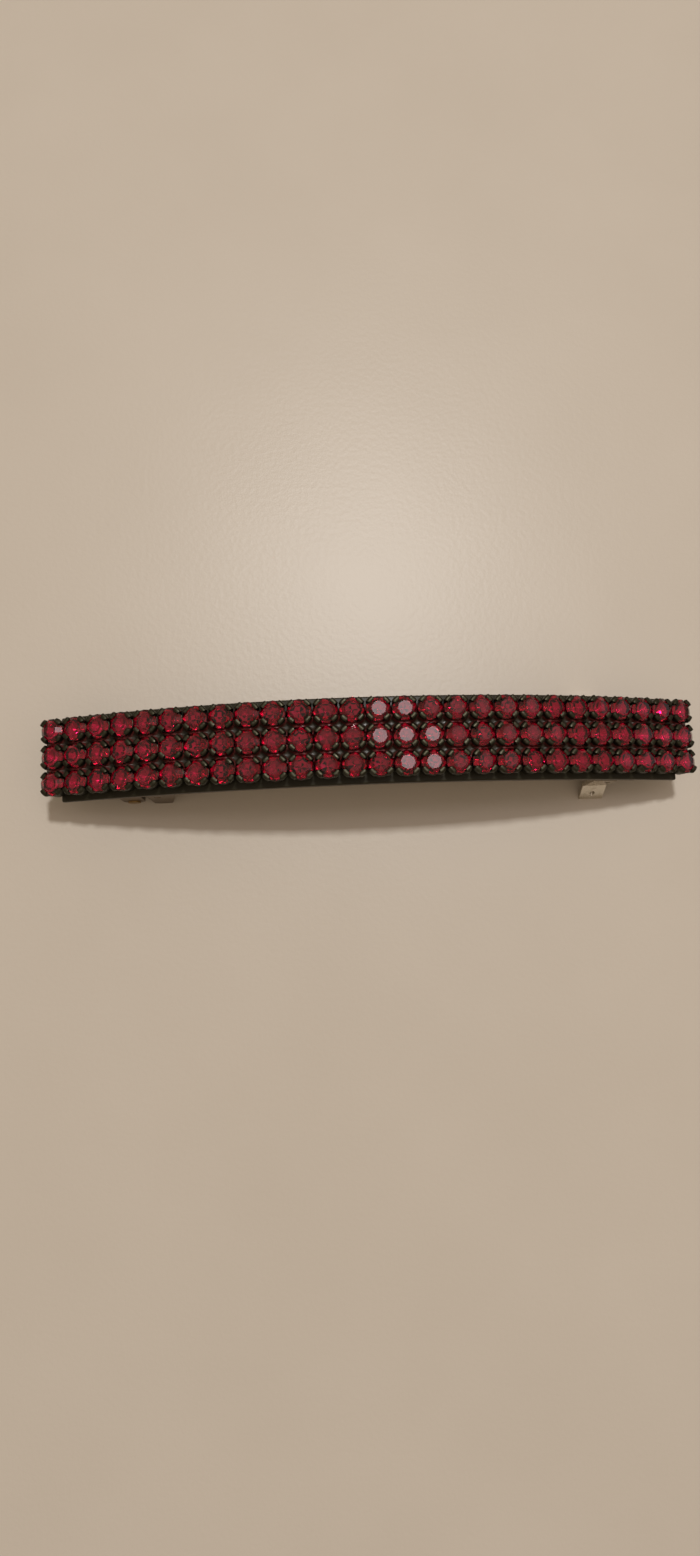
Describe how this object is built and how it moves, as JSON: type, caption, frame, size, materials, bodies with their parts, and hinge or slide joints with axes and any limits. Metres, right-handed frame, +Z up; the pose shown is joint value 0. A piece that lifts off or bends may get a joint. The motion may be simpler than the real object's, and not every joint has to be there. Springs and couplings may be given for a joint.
{
  "type": "hair barrette",
  "caption": "Arched snap barrette: rows of round red stones in black prong cups on a strip, over a hinged steel clip with a locking arm and a tension bar.",
  "frame": {"origin": "on the table under the middle of the clip, where its feet stand", "axes": "+X along the clip from the hinge to the catch, +Y across it to the back, +Z up towards the stones"},
  "size_m": [0.084, 0.014, 0.0152],
  "materials": {
    "ruby_stone": "polished facets, foiled back",
    "black_cup": "black plated",
    "black_strip": "gloss black enamel",
    "adhesive": "cured clear epoxy",
    "nickel": "bright nickel plate, slightly warm",
    "brass_pin": "dulled brass"
  },
  "bodies": {
    "base": {"stones_back_row": "ruby_stone", "stones_middle_row": "ruby_stone", "stones_front_row": "ruby_stone", "cups_back_row": "black_cup", "cups_middle_row": "black_cup", "cups_front_row_left": "black_cup", "cups_front_row_right": "black_cup", "links_back_row": "black_cup", "links_middle_row": "black_cup", "links_front_row_left": "black_cup", "links_front_row_right": "black_cup", "cup_adhesive": "adhesive", "carrier_strip": "black_strip", "clip_adhesive": "adhesive", "base_plate": "nickel", "hinge_pin": "brass_pin", "catch_plate": "nickel", "catch_rivets": "nickel"},
    "leg_front": {"catch_leg_front": "nickel"},
    "leg_back": {"catch_leg_back": "nickel"},
    "arm": {"locking_arm": "nickel"},
    "bar": {"tension_bar": "nickel"}
  },
  "joints": [
    {"name": "arm_swing", "type": "hinge", "parent": "base", "child": "arm", "pos_m": [-0.0312, 0, 0.0021], "axis": [0, 1, 0], "range_deg": [0, 110]},
    {"name": "bar_flex", "type": "hinge", "parent": "base", "child": "bar", "pos_m": [-0.0276, 0, 0.00673], "axis": [0, 1, 0], "range_deg": [-0.5, 4], "stiffness_Nm_per_rad": 0.1},
    {"name": "leg_front_flex", "type": "hinge", "parent": "base", "child": "leg_front", "pos_m": [0.0298, -0.00525, 0.0069], "axis": [-1, 0, 0], "range_deg": [0, 4], "stiffness_Nm_per_rad": 0.3},
    {"name": "leg_back_flex", "type": "hinge", "parent": "base", "child": "leg_back", "pos_m": [0.0298, 0.00525, 0.0069], "axis": [1, 0, 0], "range_deg": [0, 4], "stiffness_Nm_per_rad": 0.3}
  ]
}
